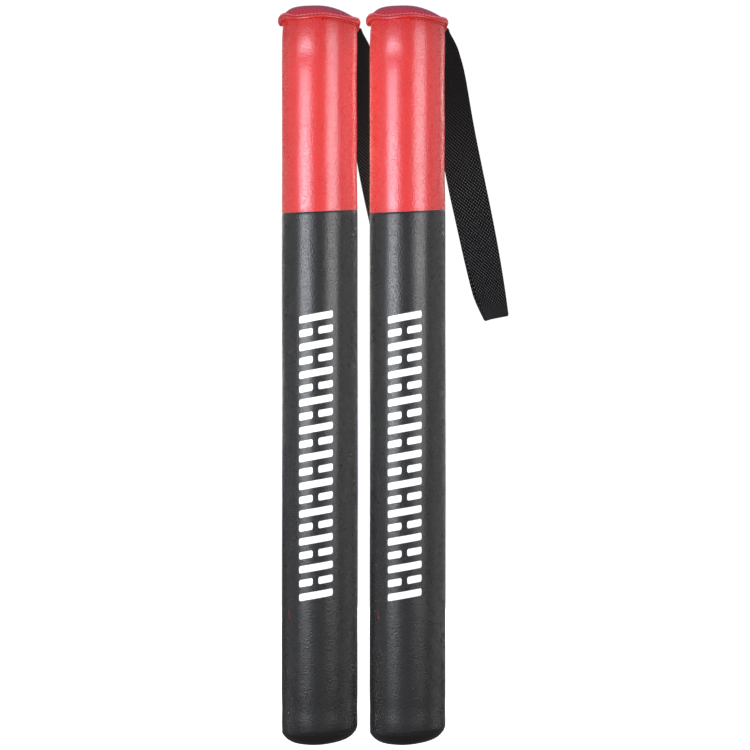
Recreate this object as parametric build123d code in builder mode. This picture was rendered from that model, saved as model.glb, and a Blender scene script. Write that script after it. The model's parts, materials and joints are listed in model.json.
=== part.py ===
from build123d import *
import math
import os

# A pair of padded focus training sticks, as used for boxing and martial arts drills.
# Each stick is a stiff tube in thick foam, in a red grip sleeve and a black striking sleeve,
# closed by a domed cap at each end, with a loop of webbing sewn under the top rim.
# The frame's origin is the middle of the left stick's flat base. +Z runs up the stick,
# +X runs to the right stick, and +Y runs to the side that the straps hang on.

os.makedirs("parts", exist_ok=True)

# ---- driving dimensions, in millimetres and degrees
STICK_RADIUS = 30.0          # outside of the sleeves
STICK_PITCH = 70.0           # between the two sticks' axes
TOTAL_HEIGHT = 588.0         # base to the top of the dome
JOINT_HEIGHT = 424.0         # where the black sleeve meets the red one
SLEEVE_THICKNESS = 0.9       # artificial leather with its backing
FIT_GAP = 0.1                # between layers that lie on each other

BASE_FLAT_RADIUS = 15.0      # what the stick stands on
BOTTOM_SEAM_HEIGHT = 9.8
RIM_HEIGHT = 572.8           # underside of the sewn lip
RIM_LAYER = 2.5              # each of the lip's two layers
RIM_RADIUS = 33.0
RIM_ROUNDING = 1.1
THREAD_RADIUS = 0.35

CORE_RADIUS = 12.5
CORE_WALL = 2.0
CORE_END_DEPTH = 24.0        # from either end of the stick to the tube
PLUG_FLANGE = 3.0
PLUG_SPIGOT = 12.0
PLUG_CLEARANCE = 0.05
PAD_DEPTH = 16.0             # foam between an end cap and the foam sleeve

WEBBING_WIDTH = 30.0
WEBBING_THICKNESS = 1.6
TAIL_HEIGHT = 6.5            # how far the sewn ends show below the lip
TAIL_THICKNESS = 2.0         # both ends pressed together

HINGE_AZIMUTH = 52.0         # where the strap leaves the rim, from +X towards +Y
HINGE_RADIUS = 34.3
HINGE_HEIGHT = 569.4
STRAP_DROP = 228.0           # from the rim to the start of the bottom fold
STRAP_LEAN_X = 0.218         # sideways run for each millimetre of drop
STRAP_LEAN_Y = 0.062
STRAP_TWIST = 81.0           # how far the webbing turns on its way down
TWIST_POWER = 1.35
LAYER_PITCH = 1.9            # between the two layers where they lie together
FOLD_WIDTH = 3.6             # the same at the bottom fold
LOOP_BULGE = 10.0            # how far the loop stands open
BULGE_POWER = 0.8            # below 1, the loop is widest above its middle
LAYER_STATIONS = 12
FOLD_STATIONS = 4

SIDES = {"left": 0.0, "right": STICK_PITCH}

# ---- values that follow from them
SLEEVE_BORE = STICK_RADIUS - SLEEVE_THICKNESS
FOAM_RADIUS = SLEEVE_BORE - FIT_GAP
LIP_MIDDLE = RIM_HEIGHT + RIM_LAYER
LIP_TOP = LIP_MIDDLE + RIM_LAYER
DOME_RADIUS = SLEEVE_BORE
TUBE_BOTTOM = CORE_END_DEPTH
TUBE_TOP = TOTAL_HEIGHT - CORE_END_DEPTH
FOAM_BOTTOM = PAD_DEPTH
FOAM_TOP = TOTAL_HEIGHT - PAD_DEPTH


def save(piece, side, name):
    """Labels a finished piece with its node name and writes it."""
    piece.part.label = f"{side}_{name}"
    export_step(piece.part, f"parts/{side}_{name}.step")


def standing_plane(x):
    """The upright plane through a stick's axis, on which the round profiles are drawn."""
    return Plane(origin=(x, 0, 0), x_dir=(1, 0, 0), z_dir=(0, -1, 0))


def stick_axis(x):
    return Axis((x, 0, 0), (0, 0, 1))


def make_tube(side, name, x, bottom, top, outer, inner):
    """A plain round sleeve about the stick's axis."""
    with BuildPart() as tube:
        with BuildSketch(Plane((x, 0, bottom))):
            Circle(outer)
            Circle(inner, mode=Mode.SUBTRACT)
        extrude(amount=top - bottom)
    save(tube, side, name)


def make_plug(side, name, x, tube_end, outwards):
    """A flanged plug in one end of the core tube. outwards is 1 for the top end and -1 for the bottom."""
    spigot_radius = CORE_RADIUS - CORE_WALL - PLUG_CLEARANCE
    with BuildPart() as plug:
        with BuildSketch(Plane((x, 0, tube_end))):
            Circle(CORE_RADIUS)
        extrude(amount=outwards * PLUG_FLANGE)
        with BuildSketch(Plane((x, 0, tube_end))):
            Circle(spigot_radius)
        extrude(amount=-outwards * PLUG_SPIGOT)
    save(plug, side, name)


def make_bottom_cap(side, x):
    """The domed bottom disc, pressed flat where the stick stands on it."""
    edge = STICK_RADIUS - FIT_GAP
    with BuildPart() as cap:
        with BuildSketch(standing_plane(x)):
            with BuildLine():
                flat = Line((0, 0), (BASE_FLAT_RADIUS, 0))
                dome = TangentArc(flat @ 1, (edge, BOTTOM_SEAM_HEIGHT), tangent=(1, 0))
                lip = Line(dome @ 1, (edge - SLEEVE_THICKNESS, BOTTOM_SEAM_HEIGHT))
                shelf = Line((0, SLEEVE_THICKNESS), (BASE_FLAT_RADIUS, SLEEVE_THICKNESS))
                TangentArc(shelf @ 1, lip @ 1, tangent=(1, 0))
                Line(shelf @ 0, flat @ 0)
            make_face()
        revolve(axis=stick_axis(x))
    save(cap, side, "bottom_cap")


def make_lower_foam_pad(side, x):
    """The foam that fills the bottom cap, up to the foam sleeve."""
    floor = SLEEVE_THICKNESS + FIT_GAP
    with BuildPart() as pad:
        with BuildSketch(standing_plane(x)):
            with BuildLine():
                base = Line((0, floor), (BASE_FLAT_RADIUS - FIT_GAP, floor))
                dome = TangentArc(base @ 1, (FOAM_RADIUS - FIT_GAP, BOTTOM_SEAM_HEIGHT + FIT_GAP), tangent=(1, 0))
                wall = Line(dome @ 1, (FOAM_RADIUS - FIT_GAP, PAD_DEPTH - FIT_GAP))
                top = Line(wall @ 1, (0, PAD_DEPTH - FIT_GAP))
                Line(top @ 1, base @ 0)
            make_face()
        revolve(axis=stick_axis(x))
    save(pad, side, "lower_foam_pad")


def make_top_cap(side, x):
    """The domed top disc, whose edge turns out to make the lip's upper layer."""
    with BuildPart() as cap:
        with BuildSketch(standing_plane(x)) as profile:
            with BuildLine():
                outer = TangentArc((0, TOTAL_HEIGHT), (DOME_RADIUS, LIP_TOP), tangent=(1, 0))
                top = Line(outer @ 1, (RIM_RADIUS, LIP_TOP))
                rim = Line(top @ 1, (RIM_RADIUS, LIP_MIDDLE))
                under = Line(rim @ 1, (DOME_RADIUS - SLEEVE_THICKNESS, LIP_MIDDLE))
                inner = TangentArc((0, TOTAL_HEIGHT - SLEEVE_THICKNESS), under @ 1, tangent=(1, 0))
                Line(inner @ 0, outer @ 0)
            make_face()
            fillet(profile.vertices().group_by(Axis.X)[-1], RIM_ROUNDING)
        revolve(axis=stick_axis(x))
    save(cap, side, "top_cap")


def make_upper_foam_pad(side, x):
    """The foam that fills the top cap, down to the foam sleeve."""
    crown = TOTAL_HEIGHT - 3 * SLEEVE_THICKNESS
    edge = DOME_RADIUS - 3 * SLEEVE_THICKNESS
    with BuildPart() as pad:
        with BuildSketch(standing_plane(x)):
            with BuildLine():
                dome = TangentArc((0, crown), (edge, LIP_MIDDLE), tangent=(1, 0))
                wall = Line(dome @ 1, (edge, FOAM_TOP + FIT_GAP))
                floor = Line(wall @ 1, (0, FOAM_TOP + FIT_GAP))
                Line(floor @ 1, dome @ 0)
            make_face()
        revolve(axis=stick_axis(x))
    save(pad, side, "upper_foam_pad")


def make_rim_binding(side, x):
    """The lip's lower layer, a rounded ring round the top of the red sleeve."""
    inner = STICK_RADIUS + FIT_GAP
    with BuildPart() as binding:
        with BuildSketch(standing_plane(x)) as profile:
            with Locations(((inner + RIM_RADIUS) / 2, RIM_HEIGHT + RIM_LAYER / 2)):
                Rectangle(RIM_RADIUS - inner, RIM_LAYER)
            fillet(profile.vertices().group_by(Axis.X)[-1], RIM_ROUNDING)
        revolve(axis=stick_axis(x))
    save(binding, side, "rim_binding")


def make_thread_ring(side, name, x, radius, height):
    """A line of stitches that runs round the stick, as one ring of thread."""
    with BuildPart() as ring:
        with BuildSketch(standing_plane(x)):
            with Locations((radius, height)):
                Circle(THREAD_RADIUS)
        revolve(axis=stick_axis(x))
    save(ring, side, name)


def make_seam_thread(side, name, x, bottom, top):
    """A lengthwise line of stitches on the back of a sleeve, as one bead of thread."""
    with BuildPart() as bead:
        with BuildSketch(Plane((x, STICK_RADIUS + THREAD_RADIUS, bottom))):
            Circle(THREAD_RADIUS)
        extrude(amount=top - bottom)
    save(bead, side, name)


def make_strap_tails(side, x):
    """The two sewn ends of the webbing, pressed together against the sleeve under the lip."""
    inner = STICK_RADIUS + FIT_GAP
    half_angle = math.degrees(WEBBING_WIDTH / 2 / (inner + TAIL_THICKNESS / 2))
    with BuildPart() as tails:
        with BuildSketch(Plane((x, 0, RIM_HEIGHT - FIT_GAP))):
            with BuildLine():
                start = HINGE_AZIMUTH - half_angle
                near = CenterArc((0, 0), inner, start, 2 * half_angle)
                far = CenterArc((0, 0), inner + TAIL_THICKNESS, start, 2 * half_angle)
                Line(near @ 0, far @ 0)
                Line(near @ 1, far @ 1)
            make_face()
        extrude(amount=-TAIL_HEIGHT)
    save(tails, side, "strap_tails")


def strap_frame(x, share):
    """The middle of the strap's inner layer at a share of its drop, and the way that the layer faces."""
    azimuth = math.radians(HINGE_AZIMUTH)
    root = Vector(x + HINGE_RADIUS * math.cos(azimuth), HINGE_RADIUS * math.sin(azimuth), HINGE_HEIGHT)
    facing = math.radians(HINGE_AZIMUTH + STRAP_TWIST * share**TWIST_POWER)
    normal = Vector(math.cos(facing), math.sin(facing), 0)
    drop = STRAP_DROP * share
    middle = root + Vector(STRAP_LEAN_X * drop, STRAP_LEAN_Y * drop, -drop)
    return middle - normal * (LAYER_PITCH / 2), normal


def loop_opening(share):
    """The distance between the middles of the loop's two layers."""
    spread = math.sin(math.pi * share**BULGE_POWER) ** 2
    return LAYER_PITCH + (FOLD_WIDTH - LAYER_PITCH) * share + LOOP_BULGE * spread


def strap_route(x):
    """The webbing's middle line, down the inner layer, round the fold and up the outer layer.

    Each station is a point, the way along the webbing there and the way across it.
    """
    shares = [i / LAYER_STATIONS for i in range(LAYER_STATIONS + 1)]
    inner, outer, across = [], [], []
    for share in shares:
        middle, normal = strap_frame(x, share)
        inner.append(middle)
        outer.append(middle + normal * loop_opening(share))
        across.append(normal.cross(Vector(0, 0, 1)))
    down = (inner[-1] - inner[-2]).normalized()
    _, normal = strap_frame(x, 1.0)
    centre = (inner[-1] + outer[-1]) * 0.5
    fold, fold_across = [], []
    for i in range(1, FOLD_STATIONS):
        turn = math.pi * i / FOLD_STATIONS
        reach = FOLD_WIDTH / 2
        fold.append(centre + normal * (-reach * math.cos(turn)) + down * (reach * math.sin(turn)))
        fold_across.append(across[-1])
    points = inner + fold + outer[::-1]
    widths = across + fold_across + across[::-1]
    stations = []
    for i, point in enumerate(points):
        before = points[max(i - 1, 0)]
        after = points[min(i + 1, len(points) - 1)]
        stations.append((point, (after - before).normalized(), widths[i]))
    return stations


def make_wrist_strap(side, x):
    """The free loop of webbing, one band from one sewn end round the fold to the other."""
    with BuildPart() as strap:
        for point, along, across in strap_route(x):
            with BuildSketch(Plane(origin=point, x_dir=across, z_dir=along)):
                Rectangle(WEBBING_WIDTH, WEBBING_THICKNESS)
        loft(ruled=True)
    save(strap, side, "wrist_strap")


for side, x in SIDES.items():
    make_tube(side, "core_tube", x, TUBE_BOTTOM, TUBE_TOP, CORE_RADIUS, CORE_RADIUS - CORE_WALL)
    make_plug(side, "upper_core_plug", x, TUBE_TOP, 1)
    make_plug(side, "lower_core_plug", x, TUBE_BOTTOM, -1)
    make_tube(side, "foam_sleeve", x, FOAM_BOTTOM, FOAM_TOP, FOAM_RADIUS, CORE_RADIUS + FIT_GAP)
    make_upper_foam_pad(side, x)
    make_lower_foam_pad(side, x)
    make_tube(side, "striking_cover", x, BOTTOM_SEAM_HEIGHT + FIT_GAP, JOINT_HEIGHT, STICK_RADIUS, SLEEVE_BORE)
    make_tube(side, "handle_cover", x, JOINT_HEIGHT + FIT_GAP, LIP_MIDDLE - FIT_GAP, STICK_RADIUS, SLEEVE_BORE)
    make_bottom_cap(side, x)
    make_top_cap(side, x)
    make_rim_binding(side, x)
    make_thread_ring(side, "rim_thread", x, RIM_RADIUS, LIP_MIDDLE)
    make_thread_ring(side, "bottom_rim_thread", x, STICK_RADIUS + THREAD_RADIUS, BOTTOM_SEAM_HEIGHT)
    make_seam_thread(side, "striking_seam_thread", x, BOTTOM_SEAM_HEIGHT + 4, JOINT_HEIGHT - 2)
    make_seam_thread(side, "handle_seam_thread", x, JOINT_HEIGHT + 2, RIM_HEIGHT - 2)
    make_strap_tails(side, x)
    make_wrist_strap(side, x)
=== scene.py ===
import json
from math import atan2, copysign, cos, degrees, exp, pi, radians, sin, sqrt

import bmesh
import bpy
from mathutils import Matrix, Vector, noise


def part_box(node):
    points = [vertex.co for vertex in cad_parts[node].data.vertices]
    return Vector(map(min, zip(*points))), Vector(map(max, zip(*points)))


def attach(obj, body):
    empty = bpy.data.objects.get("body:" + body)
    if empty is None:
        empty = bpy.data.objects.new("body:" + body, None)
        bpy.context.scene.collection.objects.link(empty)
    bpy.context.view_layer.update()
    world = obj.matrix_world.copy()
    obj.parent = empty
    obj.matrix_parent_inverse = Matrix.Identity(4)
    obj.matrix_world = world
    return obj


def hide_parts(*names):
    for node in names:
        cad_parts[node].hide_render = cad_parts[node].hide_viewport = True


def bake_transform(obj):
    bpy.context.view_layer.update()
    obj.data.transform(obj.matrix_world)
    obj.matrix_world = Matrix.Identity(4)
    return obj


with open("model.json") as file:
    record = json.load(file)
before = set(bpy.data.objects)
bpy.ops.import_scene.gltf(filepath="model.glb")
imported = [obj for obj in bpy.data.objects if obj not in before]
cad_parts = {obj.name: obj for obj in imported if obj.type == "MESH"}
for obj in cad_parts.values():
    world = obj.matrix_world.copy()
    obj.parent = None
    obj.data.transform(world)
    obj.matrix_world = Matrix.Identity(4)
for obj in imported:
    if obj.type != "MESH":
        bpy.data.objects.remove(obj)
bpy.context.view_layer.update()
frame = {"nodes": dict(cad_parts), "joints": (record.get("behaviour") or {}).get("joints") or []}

# A pair of padded focus training sticks: foam-covered tubes in a red grip sleeve and a black
# striking sleeve, with a domed cap at each end, a sewn lip at the top and a webbing wrist strap.
# Metres throughout. Azimuths run from +X towards +Y, so the camera faces the side at -90 degrees.

MM = 0.001
SIDES = ("left", "right")
FULL_TURN = 2 * pi

# ---- sleeves
AROUND = 224  # columns round a sleeve
SLEEVE_WALL = 0.55 * MM
SLEEVE_FILL = 0.95
FINE_STEP = 0.45 * MM  # between rows beside a seam
COARSE_STEP = 4.0 * MM  # between rows elsewhere
STEP_GROWTH = 1.3
FOAM_FULLNESS = 0.25 * MM  # mean slack of the leather over the foam
SLOW_SWELL = 0.30 * MM  # how far the slack changes, slowly and quickly
QUICK_SWELL = 0.10 * MM
SLOW_AROUND, SLOW_ALONG = 0.9, 7.0  # how fast, round and along the stick
QUICK_AROUND, QUICK_ALONG = 3.0, 31.0  # the same, round as a multiple of the slow
HOLLOWS = (  # azimuth and its half-width in degrees; height, its half-width and the depth in millimetres
    (-112, 20, 547.5, 7.5, 0.72),
    (-112, 26, 574, 20, 0.85),
    (0, 35, 520, 35, 0.80),
    (0, 35, 460, 30, 0.70),
    (-66, 26, 470, 20, 0.22),
    (-118, 24, 318, 26, 0.22),
    (-58, 22, 190, 22, 0.22),
    (70, 30, 360, 24, 0.25),
    (150, 30, 120, 24, 0.25),
    (-90, 400, 28, 8, 0.30),
)
FOAM_SQUEEZE = 0.8 * MM  # how far the leather presses the foam in
FOAM_PINCH, PINCH_REACH = 0.6 * MM, 10.0 * MM  # and how much more at its top
FOAM_DIMPLE = 0.1 * MM
FOAM_EASE = 0.1 * MM  # between the foam and the core tube
JOINT_GAP = 0.15 * MM  # from the black edge up to the joint line
JOINT_TUCK, TUCK_REACH = 0.3 * MM, 1.0 * MM  # the black edge is drawn in
JOINT_EDGE, EDGE_REACH = 0.18 * MM, 1.8 * MM  # the red edge stands out
JOINT_RISE = (1.4 * MM, 1.7 * MM)  # the joint line's tilt towards +X and +Y
LIP_PULL, PULL_REACH = 1.0 * MM, 6.0 * MM  # the lip's stitches pull the sleeve in
RED_TOP = 0.6 * MM  # from the red sleeve's top up to the lip's groove
PUCKER, PUCKER_REACH = 0.16 * MM, 9.0 * MM
PUCKERS_AROUND = 5.0
SEAM_AZIMUTH = radians(90)  # the lengthwise seam, at the back
SEAM_STEP = 0.5 * MM
SEAM_OVERLAP = radians(9)
BACK_STITCHES_AT = 0.35  # share of the overlap

# ---- bottom end
BASE_FLAT = 15.0 * MM
BASE_LIFT = 3.0 * MM  # how far the bottom rises towards +X
LIFT_START, LIFT_RUN = -6.0 * MM, 34.0 * MM
BOTTOM_SEAM = (7.8 * MM, 9.4 * MM)  # height of the bottom seam at -X and +X
BOTTOM_INSET = (0.35 * MM, 2.05 * MM)
BOTTOM_ROUNDING = (1.8 * MM, 5.4 * MM)
BOTTOM_FADE = 12.0 * MM  # over this height the slack begins
BOTTOM_ROWS = 24
BOTTOM_CENTRE = 0.12  # share of the radius inside the first row
CAP_CURVE = 0.915  # share of a quarter circle in the cap's edge
CAP_WALL = 0.9 * MM

# ---- top end
CROWN_SINK = 1.3 * MM  # the leather's crown, below the CAD dome's
DOME_EDGE = 28.9 * MM
DOME_TUCK = 0.7 * MM  # from the dome's edge up to the lip's top
DOME_ROWS = 22
DOME_CENTRE = 0.08  # share of the radius inside the first row
DOME_FULLNESS = (4.05, 1.95)  # exponent of its outline, and the change to -X
SWELL_LIMIT = 0.5 * MM  # on what the cloth simulation may move
SWELL_PRESSURE = 4.0
SWELL_FRAMES = 20
LIP_KNOTS = (  # azimuth; the lip's top, groove and bottom, then the reach of the
    (-180, 580.7, 579.6, 571.4, 30.8, 33.3),  # layer above the groove and below it, in millimetres
    (-165, 580.8, 579.6, 572.6, 31.0, 33.0),
    (-147, 580.2, 579.1, 574.8, 31.3, 32.6),
    (-132, 578.6, 577.5, 573.7, 31.3, 32.6),
    (-122, 578.0, 576.9, 573.3, 31.3, 32.6),
    (-110, 578.3, 577.2, 573.4, 31.3, 32.6),
    (-96, 579.0, 577.9, 574.2, 31.3, 32.6),
    (-83, 579.2, 578.2, 574.7, 31.2, 32.6),
    (-70, 578.5, 577.5, 574.5, 31.1, 32.6),
    (-53, 577.5, 576.5, 573.3, 31.0, 32.5),
    (-38, 577.3, 576.3, 572.5, 30.8, 32.4),
    (-20, 577.6, 576.6, 571.9, 30.8, 32.4),
    (0, 577.8, 576.8, 571.7, 30.9, 32.5),
    (14, 577.8, 576.7, 570.6, 31.0, 32.9),
    (22, 577.7, 576.6, 567.6, 31.0, 33.8),
    (30, 577.6, 576.5, 570.6, 31.0, 33.4),
    (38, 577.6, 576.4, 572.6, 31.1, 33.1),
    (60, 577.5, 576.4, 572.8, 31.2, 33.0),
    (90, 577.6, 576.5, 572.9, 31.2, 32.8),
    (125, 578.6, 577.5, 572.8, 31.2, 32.8),
    (158, 580.2, 579.1, 572.2, 31.2, 33.1),
)
LOWER_STITCHES = (-88, 20)  # azimuths between which stitches show under the lip, dark as painted shade, reaching on under the lip's flap by the strap
LOWER_STITCH_DROP = 0.8 * MM
RIM_STITCHES = 64
BOTTOM_STITCH_RISE = 0.9 * MM  # above the bottom seam
LIP_COLUMNS = 4 * RIM_STITCHES
ROLL_SIDES = 24
ROLL_SQUARENESS = 2.1  # exponent of the roll's outline; 2 is an ellipse
LIP_INNER = (27.9 * MM, 29.3 * MM)  # where the upper and the lower layer begin
LIP_GROOVE = 0.35 * MM  # between the two layers
LIP_SAG = 0.12 * MM
SCALLOP = 0.22 * MM  # how far each stitch bites into the rolls
BITE_IN, BITE_UP = 0.6, 0.5  # shares of it, inwards and away from the groove

# ---- thread
STITCH_PITCH = 3.3 * MM
STITCH_SHARE = 0.74  # of the pitch that each stitch covers
HALF_STITCH = STITCH_SHARE * pi / RIM_STITCHES  # half a stitch of a rim, in radians
STITCH_SLANT = 0.15 * MM
STITCH_HUMP = 1.5  # how far a stitch rises in its middle, in radii of the thread
STITCH_END = 0.55  # thickness of its ends, as a share of the middle's
THREAD_RADIUS = 0.42 * MM
FINE_THREAD = 0.55 * THREAD_RADIUS  # at the bottom
TACK_THREAD = 0.75 * THREAD_RADIUS  # over the strap's sewn ends
STITCH_SIDES = 8
STITCH_ROWS = 9
THREAD_TWIST = 5.0  # radians that the plies turn along one stitch
PLY_DEPTH = 0.14

# ---- wrist strap, on the CAD strap's own route
STRAP_WIDTH = 30.0 * MM
STRAP_THICKNESS = 1.6 * MM
SEWN_THICKNESS = 1.0 * MM  # pressed flat where it is sewn in
SEWN_RADIUS = (31.45 * MM, 32.5 * MM)  # the two layers under the lip
STRAP_DROP = 228.0 * MM
STRAP_LEAN = (0.218, 0.062)  # sideways run for each unit of drop
STRAP_TWIST = radians(81)
TWIST_POWER = 1.35
LAYER_PITCH = 1.9 * MM
FOLD_WIDTH = 3.6 * MM
LOOP_BULGE = 10.0 * MM
BULGE_POWER = 0.8
OPENS_BACK = (0.12, 0.6)  # between these shares the loop opens straight back
STRAP_RISE = 3.6 * MM  # up into the lip above its hinge
STRAP_OPENS = 2.0 * MM  # how soon it leaves the stick's curve
STRAP_BELLY = 5.2 * MM  # how far it swings out to +X below its hinge
BELLY_AT = 0.13  # share of the drop where it swings out most
SQUARENESS = 0.75  # how square the weft lies to the run; 0 keeps it level
SQUARE_AFTER = 0.12  # share of the drop over which it turns
CURL_FROM = 3.0 * MM  # beyond this from its middle, one side of the fold curls over
CURL = radians(18)
CURL_START, CURL_POWER = 0.915, 1.4  # share of the drop where it begins; its growth
CURL_EASE = 6.0 * MM
LAYER_ROWS = 330
FOLD_ROWS = 14
YARNS = 22  # warp yarns across the webbing
YARN_HEIGHT = 0.10 * MM
SELVEDGE, SELVEDGE_SHARE = 0.18 * MM, 0.1  # the thicker edge, and its share of the half-width
EDGE_ROUND, EDGE_THIN = 0.04, 0.45  # rounded share, and its end's thickness
WEAVE_PITCH = 2.1  # between two weft yarns, in millimetres
FOLD_AT = 241.4  # along the webbing, in millimetres
CRISP_FROM, CRISP_TO = 3.0, 17.0  # millimetres from the fold: the weave shows
PALE_TO, DARK_FROM = 95.0, 195.0  # millimetres from the fold: painted shade darkens the yarns towards the lip
FLAT_SHADE = 0.12  # how light it is where the fold presses it flat
TAIL_COLUMNS, TAIL_ROWS = 60, 12
TAIL_BACK, TAIL_FRONT = 0.15 * MM, 0.75 * MM  # of the sewn ends, out from the stick's radius
TACKS = 26  # stitches in the bar over the sewn ends
TACK_SPAN = 0.85  # of the webbing's width
TACK_LEAN = 0.012  # radians
TACK_HEIGHTS = (1.3 * MM, 3.4 * MM)
TACK_OUT = 0.95 * MM

# ---- leather grain
GRAIN = 900.0  # pebbles to the metre
GRAIN_DEPTH = 0.055 * MM
GROOVES = (0.25, 0.7)  # from a pebble to the middle of the groove round it
GROOVE_SHADE = 0.93  # painted shade in the grooves, as a share of the leather's darker colour
GROOVE_MATT = 0.13  # how much rougher the grooves are
MIDTONES = (0.3, 0.7)  # the part of a noise's range that gets used
LIP_SHADE_FROM, LIP_SHADE_TO = 0.530, 0.582  # heights over which painted shade darkens the red towards the lip
LIP_SHADE = 0.77  # how dark the painted shade makes it there, as a share of its colour lower down

# ---- printed panel
PRINT_GAP = 79.5 * MM  # from the joint down to the print
PRINT_LENGTH = 230.0 * MM
PRINT_WIDTH = 27.4 * MM
PRINT_AZIMUTH = radians(-95.4)
PRINT_BARS = 21
BAR_SHARE = 0.52  # of the pitch that a bar covers
BAR_SLANT = 5.0 * MM
BAR_ROUNDING = 1.1 * MM
BAR_BREAK = (0.42, 0.58)  # every other bar is in two pieces
BAR_STEP = 0.7 * MM
PRINT_FILM = 0.07 * MM

# ---- stray end of red thread
STRAY_HEIGHTS = (98.6 * MM, 107.5 * MM)
STRAY_AZIMUTH = radians(-142)
STRAY_BOW = radians(1.0)
STRAY_DRIFT = radians(4.0)
STRAY_RADIUS = 0.3 * MM
STRAY_ROWS = 22

# ---- camera and light
CAMERA_DISTANCE = 2.6
CAMERA_SINK = 0.7 * MM  # below half the sticks' height
CAMERA_SHIFT = 9.0 * MM  # to the right of the pair's middle
FRAME_WIDTH = 0.59775  # what the camera takes in at the sticks
SENSOR = 36.0
FLOOR_HALF = 40.0
SKY_LOW, SKY_HIGH = (0.12, 0.12, 0.12), (0.36, 0.38, 0.70)
SKY_SPAN = (0.1, 0.9)  # upward part of a direction where low ends and high begins
WHITE = 1.05  # what the camera sees behind the sticks


# ==== small maths

def smooth(t):
    """0 below 0, 1 above 1, and a smooth step between."""
    t = min(max(t, 0.0), 1.0)
    return t * t * (3 - 2 * t)


def mix(a, b, t):
    return a + (b - a) * t


def grey(tone):
    return (tone, tone, tone)


def turns(count):
    """Evenly spaced azimuths, once round."""
    return [FULL_TURN * i / count - pi for i in range(count)]


def graded(length):
    """Shares of a length, close together at both ends and wider apart between."""
    steps, step = [], FINE_STEP
    while step < COARSE_STEP:
        steps.append(step)
        step *= STEP_GROWTH
    middle = length - 2 * sum(steps)
    count = max(1, round(middle / COARSE_STEP))
    steps = steps + [middle / count] * count + steps[::-1]
    shares, reached = [0.0], 0.0
    for step in steps:
        reached += step
        shares.append(reached / length)
    return shares


def closed_spline(knots, azimuth):
    """A smooth closed curve through knots of an azimuth in degrees and its values."""
    place = (degrees(azimuth) + 180) % 360 - 180
    count = len(knots)
    at = max(i for i in range(count) if knots[i][0] <= place)

    def knot(i):
        lap, index = divmod(i, count)
        return (knots[index][0] + 360 * lap,) + knots[index][1:]

    before, here, after, beyond = (knot(at + k) for k in (-1, 0, 1, 2))
    span = after[0] - here[0]
    t = (place - here[0]) / span
    values = []
    for k in range(1, len(here)):
        slope_in = (after[k] - before[k]) / (after[0] - before[0]) * span
        slope_out = (beyond[k] - here[k]) / (beyond[0] - here[0]) * span
        values.append(
            (2 * t**3 - 3 * t**2 + 1) * here[k] + (t**3 - 2 * t**2 + t) * slope_in
            + (3 * t**2 - 2 * t**3) * after[k] + (t**3 - t**2) * slope_out
        )
    return values


# ==== meshes

class Skin:
    """The points and faces of one piece while it is made."""

    def __init__(self):
        self.points, self.faces, self.places = [], [], []

    def row(self, points):
        first = len(self.points)
        self.points.extend(points)
        return list(range(first, len(self.points)))

    def bridge(self, a, b, closed=True):
        count = len(a)
        for i in range(count if closed else count - 1):
            j = (i + 1) % count
            self.faces.append((a[i], a[j], b[j], b[i]))

    def fan(self, ring, centre):
        middle = self.row([centre])[0]
        for i, corner in enumerate(ring):
            self.faces.append((corner, ring[(i + 1) % len(ring)], middle))

    def rings(self, rows, joined=False, capped=False):
        """Skins closed rings of points in order. joined also skins the last to the first."""
        made = [self.row(points) for points in rows]
        for a, b in zip(made, made[1:]):
            self.bridge(a, b)
        if joined:
            self.bridge(made[-1], made[0])
        if capped:
            for ring in (made[0], made[-1]):
                self.fan(ring, sum((self.points[i] for i in ring), Vector()) / len(ring))
        return made

    def disc(self, outer, inner, middle, under):
        """A thin disc, from the rings of points on its two faces, outwards, and the faces' middles."""
        outer, inner = self.rings(outer), self.rings(inner)
        self.fan(outer[0], middle)
        self.fan(inner[0], under)
        self.bridge(outer[-1], inner[-1])
        return outer, inner

    def slab(self, front, back):
        """A thin solid between two grids of points."""
        rims = []
        for points in (front, back):
            grid = [self.row(row) for row in points]
            for a, b in zip(grid, grid[1:]):
                self.bridge(a, b, closed=False)
            sides = [row[-1] for row in grid[1:-1]], [row[0] for row in grid[-2:0:-1]]
            rims.append(grid[0] + sides[0] + grid[-1][::-1] + sides[1])
        self.bridge(*rims)

    def finish(self, name, material, sharp=50):
        """Makes the mesh object, with its faces turned outwards."""
        mesh = bpy.data.meshes.new(name)
        mesh.from_pydata(self.points, [], self.faces)
        if self.places:
            layer = mesh.uv_layers.new(name="weave")
            for loop in mesh.loops:
                layer.data[loop.index].uv = self.places[loop.vertex_index]
        work = bmesh.new()
        work.from_mesh(mesh)
        bmesh.ops.recalc_face_normals(work, faces=work.faces)
        work.to_mesh(mesh)
        work.free()
        mesh.shade_smooth()
        mesh.set_sharp_from_angle(angle=radians(sharp))
        mesh.materials.append(material)
        piece = bpy.data.objects.new(name, mesh)
        bpy.context.scene.collection.objects.link(piece)
        return piece


def thread_ring(centre, side, out, thick, turned=0.0, twist=0.0):
    """A section of two-ply thread. turned moves its points round it, and twist its plies."""
    ring = []
    for k in range(STITCH_SIDES):
        angle = FULL_TURN * k / STITCH_SIDES + turned
        ply = 1 + PLY_DEPTH * cos(2 * angle - twist)
        ring.append(centre + (side * cos(angle) + out * sin(angle)) * thick * ply)
    return ring


def add_stitch(skin, start, end, out, radius=THREAD_RADIUS):
    """Adds one stitch of two-ply thread, which goes into the leather at both ends."""
    along = (end - start).normalized()
    out = (out - along * out.dot(along)).normalized()
    side = along.cross(out)
    rows = []
    for i in range(STITCH_ROWS):
        t = i / (STITCH_ROWS - 1)
        rise = sin(pi * t)
        centre = start.lerp(end, t) + out * radius * (STITCH_HUMP * rise**0.6 - 1.0)
        thick = radius * mix(STITCH_END, 1.0, rise**0.5)
        rows.append(thread_ring(centre, side, out, thick, twist=THREAD_TWIST * t))
    skin.rings(rows, capped=True)


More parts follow.
